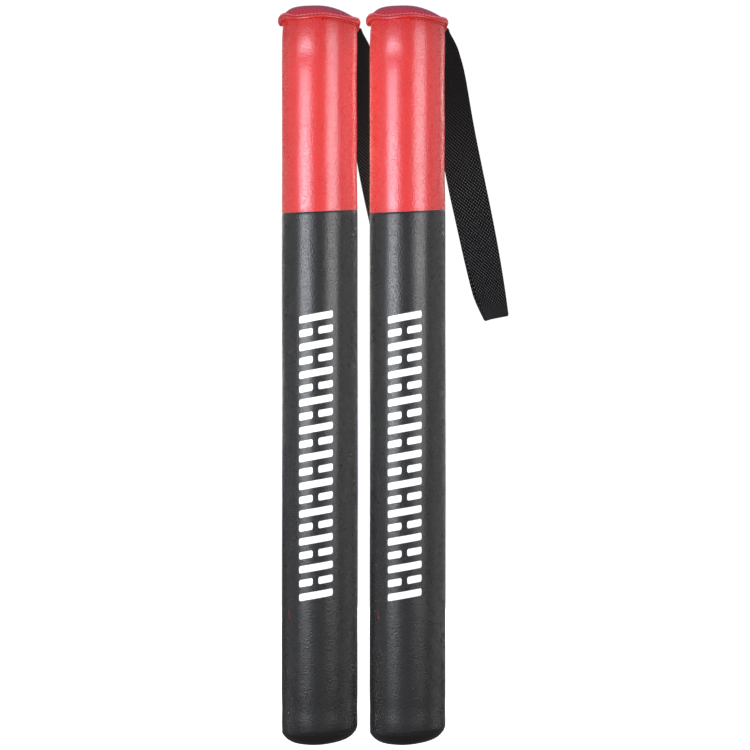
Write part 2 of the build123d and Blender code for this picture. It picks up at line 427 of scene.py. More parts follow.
def inflate(piece, held):
    """Swells a closed skin by cloth simulation from its held points, and keeps the result."""
    scene = bpy.context.scene
    pins = piece.vertex_groups.new(name="held")
    pins.add(held, 1.0, "REPLACE")
    swell = piece.modifiers.new("swell", "CLOTH")
    swell.settings.quality = 8
    swell.settings.use_pressure = True
    swell.settings.uniform_pressure_force = SWELL_PRESSURE
    swell.settings.vertex_group_mass = pins.name
    swell.settings.effector_weights.gravity = 0
    for step in range(1, SWELL_FRAMES + 1):
        scene.frame_set(step)
    swollen = piece.evaluated_get(bpy.context.evaluated_depsgraph_get())
    moves = [after.co - before.co for before, after in zip(piece.data.vertices, swollen.to_mesh().vertices)]
    swollen.to_mesh_clear()
    piece.modifiers.remove(swell)
    piece.vertex_groups.remove(pins)
    scene.frame_set(1)
    for vertex, move in zip(piece.data.vertices, moves):
        if move.length > SWELL_LIMIT:
            move = move.normalized() * SWELL_LIMIT
        vertex.co += move


def subdivide(piece, levels):
    """Applies a subdivision surface, so that the mesh itself is the final one."""
    finer = piece.modifiers.new("finer", "SUBSURF")
    finer.levels = finer.render_levels = levels
    finer.boundary_smooth = "PRESERVE_CORNERS"
    fine = bpy.data.meshes.new_from_object(piece.evaluated_get(bpy.context.evaluated_depsgraph_get()))
    piece.modifiers.clear()
    piece.data = fine
    fine.shade_smooth()


# ==== materials

def add_node(tree, kind, inputs, result=0, **properties):
    """Adds a node and gives one of its outputs. inputs holds values and other nodes' outputs."""
    node = tree.nodes.new(kind)
    for key, value in properties.items():
        setattr(node, key, value)
    for key, value in inputs.items():
        if isinstance(value, bpy.types.NodeSocket):
            tree.links.new(value, node.inputs[key])
        else:
            node.inputs[key].default_value = value
    return node.outputs[result]


class Shader:
    """A procedural material on one Principled shader."""

    def __init__(self, name, roughness, **sockets):
        self.material = bpy.data.materials.new(name)
        self.material.use_nodes = True
        self.tree = self.material.node_tree
        self.surface = self.tree.nodes["Principled BSDF"]
        self.surface.inputs["Roughness"].default_value = roughness
        for socket, value in sockets.items():
            self.surface.inputs[socket.replace("_", " ")].default_value = value
        self.place = self.tree.nodes.new("ShaderNodeTexCoord").outputs["Object"]
        self.normal = None

    def node(self, kind, inputs, result=0, **properties):
        return add_node(self.tree, kind, inputs, result, **properties)

    def give(self, name, socket):
        self.tree.links.new(socket, self.surface.inputs[name])

    def stretched(self, scale):
        return self.node("ShaderNodeMapping", {"Vector": self.place, "Scale": scale})

    def noise(self, scale, detail=3.0, place=None):
        inputs = {"Vector": place or self.place, "Scale": scale, "Detail": detail}
        return self.node("ShaderNodeTexNoise", inputs)

    def cells(self, scale, feature="F1"):
        return self.node("ShaderNodeTexVoronoi", {"Vector": self.place, "Scale": scale}, feature=feature)

    def ramp(self, value, low, high, from_value=0.0, to_value=1.0):
        """The value taken from the range low to high into another range, smoothly."""
        spans = {"From Min": low, "From Max": high, "To Min": from_value, "To Max": to_value}
        return self.node("ShaderNodeMapRange", {"Value": value, **spans}, interpolation_type="SMOOTHSTEP")

    def maths(self, operation, *values):
        return self.node("ShaderNodeMath", dict(enumerate(values)), operation=operation)

    def blend(self, share, low, high):
        """A colour between two, by a share. Either may be the output of another blend."""
        low, high = (c if isinstance(c, bpy.types.NodeSocket) else (*c, 1.0) for c in (low, high))
        return self.node("ShaderNodeMix", {0: share, 6: low, 7: high}, 2, data_type="RGBA")

    def bump(self, height, distance, strength=1.0):
        """Adds a layer of relief. distance is its depth in metres."""
        inputs = {"Height": height, "Distance": distance, "Strength": strength}
        if self.normal is not None:
            inputs["Normal"] = self.normal
        self.normal = self.node("ShaderNodeBump", inputs)
        self.give("Normal", self.normal)


def leather(name, dark, light, roughness, gloss, tint=grey(1.0)):
    """Artificial leather with a fine pebbled grain, faint creases and a slightly uneven gloss. Shade is
    painted into its grooves and, high up, towards the lip.
    """
    shader = Shader(name, roughness, Specular_IOR_Level=gloss, Specular_Tint=(*tint, 1.0))
    groove = shader.ramp(shader.cells(GRAIN, "SMOOTH_F1"), *GROOVES)
    worn = shader.blend(shader.ramp(shader.noise(30.0, 5.0), *MIDTONES), dark, light)
    # Painted shade: the grooves round the pebbles are darker, standing in for the shade that falls in them.
    grained = shader.blend(groove, worn, [GROOVE_SHADE * c for c in dark])
    # Painted shade: towards the lip the leather darkens, standing in for the shadow under the lip. Only red
    # leather reaches that high.
    height = shader.node("ShaderNodeSeparateXYZ", {"Vector": shader.place}, "Z")
    lip_shade_colour = [LIP_SHADE * (a + b) / 2 for a, b in zip(dark, light)]
    shader.give("Base Color", shader.blend(shader.ramp(height, LIP_SHADE_FROM, LIP_SHADE_TO), grained, lip_shade_colour))
    patches = shader.ramp(shader.noise(160.0, 2.0), *MIDTONES, -0.01, 0.01)
    matt = shader.maths("MULTIPLY_ADD", groove, GROOVE_MATT, roughness - 0.03)
    shader.give("Roughness", shader.maths("ADD", patches, matt))
    shader.bump(shader.maths("SUBTRACT", 1.0, groove), GRAIN_DEPTH)
    creases = shader.noise(1.0, 2.0, shader.stretched((260.0, 260.0, 45.0)))
    shader.bump(shader.ramp(creases, 0.35, 0.75), 0.02 * MM, 0.5)
    return shader.material


def webbing_material():
    """Narrow black twill webbing, woven from yarns across and along the strap."""
    shader = Shader("webbing_weave", 0.8, Specular_IOR_Level=0.14)
    weave = shader.node("ShaderNodeUVMap", {}, uv_map="weave")
    band = FULL_TURN / 20  # a wave texture's scale for one band to the unit
    diagonal = shader.node("ShaderNodeMapping", {"Vector": weave, "Rotation": (0, 0, radians(40))})
    inputs = {"Vector": diagonal, "Scale": band / WEAVE_PITCH, "Distortion": 0.6, "Detail": 1.0}
    twill = shader.node("ShaderNodeTexWave", inputs, "Fac")
    inputs = {"Vector": weave, "Scale": band * YARNS / (STRAP_WIDTH / MM)}
    yarns = shader.node("ShaderNodeTexWave", inputs, bands_direction="X")
    fine = shader.node("ShaderNodeMapping", {"Vector": weave, "Scale": (9.0, 2.0, 1.0)})
    fibres = shader.noise(1.0, 3.0, fine)
    height = shader.maths("MULTIPLY", twill, shader.ramp(yarns, 0.0, 0.8, 0.35, 1.0))
    shade = shader.maths("ADD", height, shader.ramp(fibres, *MIDTONES, -0.2, 0.2))
    along = shader.node("ShaderNodeSeparateXYZ", {"Vector": weave}, "Y")
    from_fold = shader.maths("ABSOLUTE", shader.maths("SUBTRACT", along, FOLD_AT))
    crisp = shader.ramp(from_fold, CRISP_FROM, CRISP_TO)
    shade = shader.maths("SUBTRACT", shader.ramp(shade, 0.5, 1.1), FLAT_SHADE)
    shade = shader.maths("MULTIPLY_ADD", shade, crisp, FLAT_SHADE)
    # Painted shade: the yarns darken towards the sewn ends under the lip, standing in for the lip's shadow
    # on the strap.
    root_shade = shader.ramp(from_fold, PALE_TO, DARK_FROM)
    yarn = shader.blend(root_shade, (0.108, 0.109, 0.109), (0.024, 0.026, 0.026))
    # The twill is real, but its colour follows its relief. Gaps near black are painted shade, and lighter
    # crests are painted highlights on the yarns.
    shader.give("Base Color", shader.blend(shade, grey(0.0005), yarn))
    shader.bump(shader.maths("MULTIPLY", height, crisp), 0.4 * MM)
    shader.bump(fibres, 0.05 * MM)
    return shader.material


def print_material():
    """White screen ink that has sunk into the leather's grain."""
    shader = Shader("print_ink", 0.4)
    cover = shader.ramp(shader.noise(420.0, 4.0), 0.3, 0.6)
    shader.give("Base Color", shader.blend(cover, (0.92, 0.92, 0.91), grey(0.96)))
    shader.bump(shader.cells(GRAIN, "SMOOTH_F1"), 0.04 * MM)
    shader.bump(shader.noise(90.0, 4.0), 0.05 * MM)
    return shader.material


def one_texture(name, roughness, texture, span, dark, light, depth, **sockets):
    """A material whose colour and relief both follow one texture, made by a function of its shader."""
    shader = Shader(name, roughness, **sockets)
    pattern = texture(shader)
    shader.give("Base Color", shader.blend(shader.ramp(pattern, *span), dark, light))
    shader.bump(pattern, depth)
    return shader.material


def thread_material(name, dark, light, gloss=0.5):
    """Twisted polyester thread, its fibres a little lighter where they stand out."""
    span = (0.35, 0.65)
    return one_texture(
        name, 0.5, lambda s: s.noise(3200.0), span, dark, light, 0.04 * MM, Specular_IOR_Level=gloss
    )


RED_LEATHER = leather(
    "red_leather_grain", (0.61, 0.019, 0.013), (0.67, 0.025, 0.017), 0.28, 0.80, tint=(0.88, 0.90, 1.0)
)
BLACK_LEATHER = leather("black_leather_grain", grey(0.011), grey(0.015), 0.30, 0.43)
WEBBING = webbing_material()
# The thread is red. Its pale pink tones are raised further as painted highlights on the stitches.
RED_THREAD_AND_GLINT = thread_material("red_thread_fibres_and_glint", (0.55, 0.06, 0.06), (0.85, 0.24, 0.23))
# Also painted shade: the stitches under the lip are dark to stand in for the shade there. The stray
# thread's dark red is its own colour.
DARK_THREAD_AND_LIP_SHADE = thread_material("dark_red_fibres_and_lip_shade", (0.15, 0.006, 0.005), (0.28, 0.012, 0.01), 0.1)
BLACK_THREAD = thread_material("black_thread_fibres", grey(0.004), grey(0.012))
PRINT_INK = print_material()
FOAM = one_texture(  # closed cells, which show as pits where they are cut
    "foam_cells", 0.9, lambda s: s.cells(900.0), (0.1, 0.6),
    (0.22, 0.22, 0.23), (0.12, 0.12, 0.125), 0.3 * MM,
)
PIPE = one_texture(  # off-white and extruded, with faint lines along it
    "core_pipe", 0.4, lambda s: s.noise(1.0, 3.0, s.stretched((900.0, 900.0, 6.0))), MIDTONES,
    (0.55, 0.55, 0.52), (0.66, 0.66, 0.63), 0.03 * MM,
)
PLUG = one_texture(  # dark moulded plastic with a fine spark-eroded texture
    "plug_moulding", 0.5, lambda s: s.noise(1500.0, 2.0), MIDTONES,
    grey(0.06), grey(0.09), 0.04 * MM,
)
INNER_MATERIALS = {
    "core_tube": PIPE, "upper_core_plug": PLUG, "lower_core_plug": PLUG, "upper_foam_pad": FOAM
}


# ==== one stick's measures

class Stick:
    """Where one stick is, from its CAD nodes, and the shape of its leather."""

    def __init__(self, side):
        self.side = side
        self.body, self.strap_body = f"{side}_stick", f"{side}_strap"
        low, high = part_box(f"{side}_striking_cover")
        self.x, self.y = (low[0] + high[0]) / 2, (low[1] + high[1]) / 2
        self.radius = (high[0] - low[0]) / 2
        self.joint = high[2]
        self.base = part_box(f"{side}_bottom_cap")[0][2]
        self.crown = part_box(f"{side}_top_cap")[1][2] - CROWN_SINK
        joint = next(j for j in frame["joints"] if j["name"] == f"{side}_strap_swing")
        self.hinge = Vector(joint["pos_m"])
        self.hinge_azimuth = atan2(self.hinge.y - self.y, self.hinge.x - self.x)

    def name(self, piece):
        return f"{self.side}_{piece}"

    def out(self, azimuth):
        return Vector((cos(azimuth), sin(azimuth), 0))

    def at(self, azimuth, radius, height):
        return Vector((self.x, self.y, self.base + height)) + self.out(azimuth) * radius

    def lip(self, azimuth):
        """Heights of the lip's top, groove and bottom, and the reach of its upper and lower layer."""
        return [value * MM for value in closed_spline(LIP_KNOTS, azimuth)]

    def settle(self, piece, node=None, slot=None, fill=None):
        """Puts a piece on the stick and hides its CAD node. slot and fill are not used."""
        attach(piece, self.body)
        if node:
            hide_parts(self.name(node))

    def add(self, skin, name, material, node=None, slot=None, fill=None):
        """Finishes a skin as one of the stick's pieces."""
        self.settle(skin.finish(self.name(name), material), node, slot, fill)

    def joint_height(self, azimuth):
        rise_x, rise_y = JOINT_RISE
        return self.joint + rise_x * cos(azimuth) + rise_y * sin(azimuth)

    def bottom_seam(self, azimuth):
        """Height, inset and rounding of the sleeve's bottom edge."""
        share = (1 + cos(azimuth)) / 2
        return [mix(a, b, share) for a, b in (BOTTOM_SEAM, BOTTOM_INSET, BOTTOM_ROUNDING)]

    def slack(self, azimuth, height):
        """How far the leather stands off its nominal radius."""
        where = self.out(azimuth) * SLOW_AROUND
        slow = noise.noise(where + Vector((3.1, 0.0, height * SLOW_ALONG)))
        quick = noise.noise(where * QUICK_AROUND + Vector((0.0, 7.7, height * QUICK_ALONG)))
        slack = FOAM_FULLNESS + SLOW_SWELL * slow + QUICK_SWELL * quick
        for centre, half_turn, level, half_height, depth in HOLLOWS:
            turn = (degrees(azimuth) - centre + 180) % 360 - 180
            up = height / MM - level
            slack -= depth * MM * exp(-((turn / half_turn) ** 2) - (up / half_height) ** 2)
        return slack

    def seam_step(self, azimuth):
        """The extra leather where the sleeve overlaps itself along the back."""
        past = (azimuth - SEAM_AZIMUTH) % FULL_TURN
        return SEAM_STEP * (1 - smooth(past / SEAM_OVERLAP)) if past < SEAM_OVERLAP else 0.0

    def black_radius(self, azimuth, height):
        seam, inset, rounding = self.bottom_seam(azimuth)
        down = self.joint_height(azimuth) - height
        turned_in = inset * max(0.0, 1 - (height - seam) / rounding) ** 2
        tuck = JOINT_TUCK * exp(-((down / TUCK_REACH) ** 2))
        fade = smooth((height - seam) / BOTTOM_FADE)
        proud = (self.slack(azimuth, height) + self.seam_step(azimuth)) * fade
        return self.radius + proud - turned_in - tuck

    def red_radius(self, azimuth, height):
        up = height - self.joint_height(azimuth)
        down = self.lip(azimuth)[2] - height
        edge = JOINT_EDGE * exp(-((up / EDGE_REACH) ** 2))
        pull = LIP_PULL * exp(-max(0.0, down) / PULL_REACH)
        wave = noise.noise(self.out(azimuth) * PUCKERS_AROUND + Vector((0, 0, height * 12)))
        pucker = PUCKER * wave * exp(-max(0.0, down) / PUCKER_REACH)
        return self.radius + self.slack(azimuth, height) + self.seam_step(azimuth) + edge - pull + pucker


STICKS = [Stick(side) for side in SIDES]
PAIR_MIDDLE = Vector((
    sum(s.x for s in STICKS) / 2, sum(s.y for s in STICKS) / 2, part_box("left_top_cap")[1][2] / 2
))


# ==== the pieces

def make_sleeve(stick, name, material, low, high, radius, node, slot):
    """A thin-walled sleeve between two edges, whose heights may change round the stick."""
    azimuths = turns(AROUND)
    lows, highs = [low(a) for a in azimuths], [high(a) for a in azimuths]
    outer, inner = [], []
    for share in graded(sum(highs) / AROUND - sum(lows) / AROUND):
        heights = [mix(a, b, share) for a, b in zip(lows, highs)]
        reach = [radius(a, h) for a, h in zip(azimuths, heights)]
        for rows, wall in ((outer, 0.0), (inner, SLEEVE_WALL)):
            rows.append([stick.at(a, r - wall, h) for a, r, h in zip(azimuths, reach, heights)])
    skin = Skin()
    skin.rings(outer + inner[::-1], joined=True)
    stick.add(skin, name, material, node, slot, SLEEVE_FILL)


def make_sleeves(stick):
    """The black sleeve up to the joint, and the red one from there to the lip."""
    make_sleeve(
        stick, "striking_sleeve", BLACK_LEATHER,
        lambda a: stick.bottom_seam(a)[0],
        lambda a: stick.joint_height(a) - JOINT_GAP,
        stick.black_radius, "striking_cover", "black_leather",
    )
    make_sleeve(
        stick, "grip_sleeve", RED_LEATHER,
        stick.joint_height,
        lambda a: stick.lip(a)[1] - RED_TOP,
        stick.red_radius, "handle_cover", "red_leather",
    )


def make_foam(stick):
    """The foam round the core tube, squeezed by the leather all over, and most at its top."""
    low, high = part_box(stick.name("foam_sleeve"))
    tube_low, tube_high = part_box(stick.name("core_tube"))
    outer, inner = (high[0] - low[0]) / 2 - FOAM_SQUEEZE, (tube_high[0] - tube_low[0]) / 2 + FOAM_EASE
    azimuths = turns(AROUND // 2)
    heights = [mix(low[2], high[2], share) - stick.base for share in graded(high[2] - low[2])]

    def pressed(azimuth, height):
        dimple = FOAM_DIMPLE * noise.noise(stick.out(azimuth) * 4 + Vector((0, 0, height * 40)))
        return outer - dimple - FOAM_PINCH * exp((height - heights[-1]) / PINCH_REACH)

    rows = [[stick.at(a, pressed(a, h), h) for a in azimuths] for h in heights]
    rows += [[stick.at(a, inner, h) for a in azimuths] for h in heights[::-1]]
    skin = Skin()
    skin.rings(rows, joined=True)
    stick.add(skin, "foam_filling", FOAM, "foam_sleeve", "foam", 1.0)


def base_height(stick, azimuth, share, inset=0.0):
    """Radius and height of the bottom cap at a share of the way out to its seam."""
    seam, seam_inset, _ = stick.bottom_seam(azimuth)
    edge = stick.radius - seam_inset - inset
    radius = edge * share

    def lift(distance):
        return BASE_LIFT * smooth((distance * cos(azimuth) - LIFT_START) / LIFT_RUN)

    out = max(0.0, (radius - BASE_FLAT) / (edge - BASE_FLAT)) * CAP_CURVE
    curve = (1 - sqrt(1 - out**2)) / (1 - sqrt(1 - CAP_CURVE**2))
    return radius, lift(radius) + (seam - lift(edge)) * curve + inset


def make_bottom_cap(stick):
    """The domed bottom disc, worn rounder on one side, and the foam that fills it."""
    azimuths = turns(2 * RIM_STITCHES)
    shares = [mix(BOTTOM_CENTRE, 1.0, (i / BOTTOM_ROWS) ** 0.8) for i in range(BOTTOM_ROWS + 1)]

    def level(share, inset):
        places = [base_height(stick, a, share, inset) for a in azimuths]
        return [stick.at(a, r, h) for a, (r, h) in zip(azimuths, places)]

    skin = Skin()
    rows = [level(s, 0.0) for s in shares], [level(s, CAP_WALL) for s in shares[::4]]
    skin.disc(*rows, stick.at(0, 0, 0), stick.at(0, 0, CAP_WALL))
    stick.add(skin, "bottom_disc", BLACK_LEATHER, "bottom_cap", "black_leather", SLEEVE_FILL)

    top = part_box(stick.name("lower_foam_pad"))[1][2] - stick.base
    lowest = 1.2 * CAP_WALL
    filling = Skin()
    below = filling.rings([level(s, lowest) for s in shares[::4]])
    above = filling.row([stick.at(a, stick.radius - 2.5 * CAP_WALL, top) for a in azimuths])
    filling.fan(below[0], stick.at(0, 0, lowest))
    filling.bridge(below[-1], above)
    filling.fan(above, stick.at(0, 0, top))
    stick.add(filling, "bottom_filling", FOAM, "lower_foam_pad", "foam", 1.0)


def make_top_cap(stick):
    """The padded dome. Its edge is pinned at the stitches and the leather swells between them."""
    azimuths = turns(2 * RIM_STITCHES)
    mean, change = DOME_FULLNESS
    edges = [stick.lip(a)[0] - DOME_TUCK for a in azimuths]
    crown = stick.crown - stick.base

    def level(share, sink):
        row = []
        for a, edge in zip(azimuths, edges):
            height = crown + (edge - crown) * share ** (mean - change * cos(a))
            row.append(stick.at(a, DOME_EDGE * share, height - sink))
        return row

    shares = [mix(DOME_CENTRE, 1.0, i / DOME_ROWS) for i in range(DOME_ROWS + 1)]
    skin = Skin()
    rows = [level(s, 0.0) for s in shares], [level(s, CAP_WALL) for s in shares[::2]]
    outer, inner = skin.disc(*rows, stick.at(0, 0, crown), stick.at(0, 0, crown - CAP_WALL))
    cap = skin.finish(stick.name("top_dome"), RED_LEATHER)
    inflate(cap, held=[i for ring in inner for i in ring] + outer[-1][::2])
    subdivide(cap, 1)
    stick.settle(cap, "top_cap", "red_leather", 0.9)


def roll_outline(inner, outer, low, high):
    """A rounded section of the lip, as offsets in radius and height."""
    middle, height = (inner + outer) / 2, (low + high) / 2
    points = []
    for k in range(ROLL_SIDES):
        angle = FULL_TURN * k / ROLL_SIDES
        across, up = cos(angle), sin(angle)
        across = copysign(abs(across) ** (2 / ROLL_SQUARENESS), across)
        up = copysign(abs(up) ** (2 / ROLL_SQUARENESS), up)
        points.append((middle + across * (outer - inner) / 2, height + up * (high - low) / 2))
    return points


def make_lip(stick):
    """The two rolled layers of the lip and the stitches in the groove between them. Along part of the
    front, a second row of stitches shows under the lower layer, dark as painted shade."""
    upper_rows, lower_rows = [], []
    for azimuth in turns(LIP_COLUMNS):
        top, groove, bottom, high, low = stick.lip(azimuth)
        bite = SCALLOP * (0.5 + 0.5 * cos(RIM_STITCHES * azimuth))
        sag = LIP_SAG * noise.noise(stick.out(azimuth) * 6)
        high += sag - bite * BITE_IN
        low -= sag + bite * BITE_IN
        sections = (
            (upper_rows, roll_outline(LIP_INNER[0], high, groove + bite * BITE_UP, top)),
            (lower_rows, roll_outline(LIP_INNER[1], low, bottom, groove - LIP_GROOVE - bite * BITE_UP)),
        )
        for rows, outline in sections:
            rows.append([stick.at(azimuth, radius, height) for radius, height in outline])
    layers = (("top_edge", "top_cap", upper_rows), ("lip_binding", "rim_binding", lower_rows))
    for name, node, rows in layers:
        skin = Skin()
        skin.rings(rows, joined=True)
        stick.add(skin, name, RED_LEATHER, node, "red_leather")

    thread, dark_thread = Skin(), Skin()
    for azimuth in turns(RIM_STITCHES):
        above, below = [], []
        for turn in (-HALF_STITCH, HALF_STITCH):
            _, groove, bottom, high, _ = stick.lip(azimuth + turn)
            slant = STITCH_SLANT * copysign(1, turn)
            above.append(stick.at(azimuth + turn, high + 0.15 * MM, groove + slant))
            under = bottom - LOWER_STITCH_DROP
            reach = stick.red_radius(azimuth + turn, under) + 0.2 * MM
            below.append(stick.at(azimuth + turn, reach, under + slant))
        add_stitch(thread, *above, stick.out(azimuth) + Vector((0, 0, 0.3)))
        # Painted shade: these stitches are dark to stand in for the shade under the lower layer.
        if LOWER_STITCHES[0] < degrees(azimuth) < LOWER_STITCHES[1]:
            add_stitch(dark_thread, *below, stick.out(azimuth))
    stick.add(thread, "lip_stitches", RED_THREAD_AND_GLINT, "rim_thread", "red_thread")
    stick.add(dark_thread, "lower_lip_stitches", DARK_THREAD_AND_LIP_SHADE, "rim_thread", "red_thread")


def make_bottom_stitches(stick):
    """The short stitches all the way round, just above the bottom seam."""
    thread = Skin()
    for azimuth in turns(RIM_STITCHES):
        ends = []
        for turn in (-HALF_STITCH, HALF_STITCH):
            height = stick.bottom_seam(azimuth + turn)[0] + BOTTOM_STITCH_RISE
            ends.append(stick.at(azimuth + turn, stick.black_radius(azimuth + turn, height), height))
        add_stitch(thread, *ends, stick.out(azimuth), FINE_THREAD)
    stick.add(thread, "bottom_stitches", BLACK_THREAD, "bottom_rim_thread", "black_thread")


def make_back_stitches(stick, name, node, material, slot, radius):
    """The lengthwise stitches of one sleeve, beside the overlap at the back."""
    low, high = (corner[2] - stick.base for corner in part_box(stick.name(node)))
    azimuth = SEAM_AZIMUTH + SEAM_OVERLAP * BACK_STITCHES_AT
    count = int((high - low) / STITCH_PITCH)
    thread = Skin()
    for i in range(count):
        start = low + (high - low) * i / count
        end = start + STITCH_PITCH * STITCH_SHARE
        ends = [stick.at(azimuth, radius(azimuth, h), h) for h in (start, end)]
        add_stitch(thread, *ends, stick.out(azimuth))
    stick.add(thread, name, material, node, slot)


def make_print(stick):
    """A generic panel of slanted bars, printed on the front of the black sleeve."""
    skin = Skin()
    pitch = PRINT_LENGTH / PRINT_BARS
    height = pitch * BAR_SHARE
    for bar in range(PRINT_BARS):
        middle = stick.joint - PRINT_GAP - pitch * (bar + 0.5)
        spans = ((0.0, 1.0),) if bar % 2 == 0 else ((0.0, BAR_BREAK[0]), (BAR_BREAK[1], 1.0))
        for start, end in spans:
            first, last = ((s - 0.5) * PRINT_WIDTH for s in (start, end))
            count = max(8, round((last - first) / BAR_STEP))
            front, back = [], []
            for i in range(count + 1):
                across = mix(first, last, i / count)
                corner = BAR_ROUNDING - min(across - first, last - across)
                cut = BAR_ROUNDING - sqrt(max(0.0, BAR_ROUNDING**2 - max(0.0, corner) ** 2))
                azimuth = PRINT_AZIMUTH + across / stick.radius
                centre = middle + BAR_SLANT * across / PRINT_WIDTH
                rows = [centre + (height / 2 - cut) * k for k in (-1, -0.5, 0, 0.5, 1)]
                reach = [stick.black_radius(azimuth, h) for h in rows]
                front.append([stick.at(azimuth, r + PRINT_FILM, h) for r, h in zip(reach, rows)])
                back.append([stick.at(azimuth, r - PRINT_FILM, h) for r, h in zip(reach, rows)])
            skin.slab(front, back)
    stick.add(skin, "printed_bars", PRINT_INK)


def make_stray_thread(stick):
    """A short end of red thread that clings to the black sleeve."""
    low, high = STRAY_HEIGHTS
    rows = []
    for i in range(STRAY_ROWS):
        t = i / (STRAY_ROWS - 1)
        azimuth = STRAY_AZIMUTH - STRAY_BOW * sin(pi * t) + STRAY_DRIFT * (1 - t)
        height = mix(low, high, t)
        centre = stick.at(azimuth, stick.black_radius(azimuth, height) + STRAY_RADIUS * 0.6, height)
        thick = STRAY_RADIUS * sin(pi * mix(0.08, 0.92, t)) ** 0.5
        out = stick.out(azimuth)
        side = Vector((0, 0, 1)).cross(out)
        rows.append(thread_ring(centre, side, out, thick, turned=THREAD_TWIST * t))
    strand = Skin()
    strand.rings(rows, capped=True)
    stick.add(strand, "stray_thread", DARK_THREAD_AND_LIP_SHADE, slot="red_thread")


def strap_station(stick, share, layer, opening):
    """The middle of one layer and the way it faces, at a share of the drop."""
    down = max(share, 0.0)
    facing = stick.hinge_azimuth + STRAP_TWIST * down**TWIST_POWER
    normal = stick.out(facing)
    drop = STRAP_DROP * share
    belly = STRAP_BELLY * (down / BELLY_AT * exp(1 - down / BELLY_AT)) ** 1.5
    middle = stick.hinge + Vector((STRAP_LEAN[0] * drop + belly, STRAP_LEAN[1] * drop, -drop))
    inner = middle - normal * (LAYER_PITCH / 2)
    level = smooth(down / OPENS_BACK[0]) * (1 - smooth((down - OPENS_BACK[1]) / (1 - OPENS_BACK[1])))
    apart = normal.lerp(Vector((0, 1, 0)), level).normalized()
    return inner + apart * opening * layer, normal


def loop_opening(share):
    """The distance between the middles of the loop's two layers."""
    share = max(share, 0.0)
    spread = sin(pi * share**BULGE_POWER) ** 2
    return LAYER_PITCH + (FOLD_WIDTH - LAYER_PITCH) * share + LOOP_BULGE * spread


def webbing_outline():
    """Positions across the webbing, from -1 to 1, and the side that each is on."""
    count = 2 * YARNS
    there = [2 * i / count - 1 for i in range(count + 1)]
    return [(across, 1) for across in there] + [(across, -1) for across in there[::-1]]


def strap_stations(stick):
    """Places along the webbing, from under the lip down to the fold and up again. Each holds its middle,
    facing, share of the stick's curve, that curve's radius, thickness, squareness and curl."""
    stations = []
    shares = [mix(-STRAP_RISE / STRAP_DROP, 1.0, i / LAYER_ROWS) for i in range(LAYER_ROWS + 1)]
    for layer, order in ((0, shares), (1, shares[::-1])):
        for share in order:
            middle, normal = strap_station(stick, share, layer, loop_opening(share))
            curved = 1 - smooth((share * STRAP_DROP + STRAP_RISE) / STRAP_OPENS)
            thickness = mix(STRAP_THICKNESS, SEWN_THICKNESS, curved)
            facing = normal if layer else -normal
            square = SQUARENESS * smooth(share / SQUARE_AFTER)
            curl = CURL * max(0.0, (share - CURL_START) / (1 - CURL_START)) ** CURL_POWER
            stations.append((middle, facing, curved, SEWN_RADIUS[layer], thickness, square, curl))
        if layer == 0:
            first, normal = strap_station(stick, 1.0, 0, loop_opening(1.0))
            last, _ = strap_station(stick, 1.0, 1, loop_opening(1.0))
            down = (first - strap_station(stick, 0.99, 0, loop_opening(0.99))[0]).normalized()
            for i in range(1, FOLD_ROWS):
                turn = pi * i / FOLD_ROWS
                facing = -normal * cos(turn) + down * sin(turn)
                middle = (first + last) / 2 + facing * FOLD_WIDTH / 2
                stations.append((middle, facing, 0.0, 0.0, STRAP_THICKNESS, SQUARENESS, CURL))
    return stations


def make_strap(stick):
    """The loop of webbing, as one closed skin with the weave's places on it."""
    stations, outline = strap_stations(stick), webbing_outline()
    skin = Skin()
    rows, along = [], 0.0
    up, run = Vector((0, 0, 1)), Vector((*STRAP_LEAN, -1)).normalized()
    _, back = strap_station(stick, 1.0, 0, 0.0)
    for k, (middle, facing, curved, radius, thickness, square, curl) in enumerate(stations):
        if k:
            along += (middle - stations[k - 1][0]).length
        level = Vector((facing.x, facing.y, 0))
        flat_side = up.cross(level if k <= LAYER_ROWS else -level).normalized()
        if LAYER_ROWS < k < LAYER_ROWS + FOLD_ROWS:
            flat_side = up.cross(back) * -1
        flat_side = (flat_side - run * run.dot(flat_side) * square).normalized()
        row = []
        for across, side in outline:
            reach = across * STRAP_WIDTH / 2
            yarn = abs(sin(pi * YARNS * (across + 1) / 2))
            edge = SELVEDGE * smooth((abs(across) - 1 + SELVEDGE_SHARE) / SELVEDGE_SHARE)
            past = max(0.0, (abs(across) - 1 + EDGE_ROUND) / EDGE_ROUND)
            rounding = sqrt(max(0.0, 1 - past**2))
            relief = thickness / 2 - YARN_HEIGHT * (1 - yarn)
            proud = relief * mix(EDGE_THIN, 1.0, rounding) + edge * rounding
            beyond = max(0.0, -reach - CURL_FROM)
            bend = curl * smooth(beyond / CURL_EASE)
            lean_in = (flat_side * (1 - cos(bend)) - back * sin(bend)) * beyond
            place = middle + flat_side * reach + lean_in + facing * proud * side
            if curved > 0:
                azimuth = stick.hinge_azimuth - reach / radius
                sewn_out = radius + proud * side * (1 if k > LAYER_ROWS else -1)
                place = place.lerp(stick.at(azimuth, sewn_out, middle.z - stick.base), curved)
            row.append(place)
            skin.places.append((reach / MM, along / MM))
        rows.append(row)
    made = skin.rings(rows)
    for ring, row in ((made[0], rows[0]), (made[-1], rows[-1])):
        skin.fan(ring, sum(row, Vector()) / len(row))
    skin.places += [skin.places[0], skin.places[-1]]
    strap = skin.finish(stick.name("webbing_loop"), WEBBING, sharp=70)
    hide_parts(stick.name("wrist_strap"))
    stick.name("lip_binding")
    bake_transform(strap)


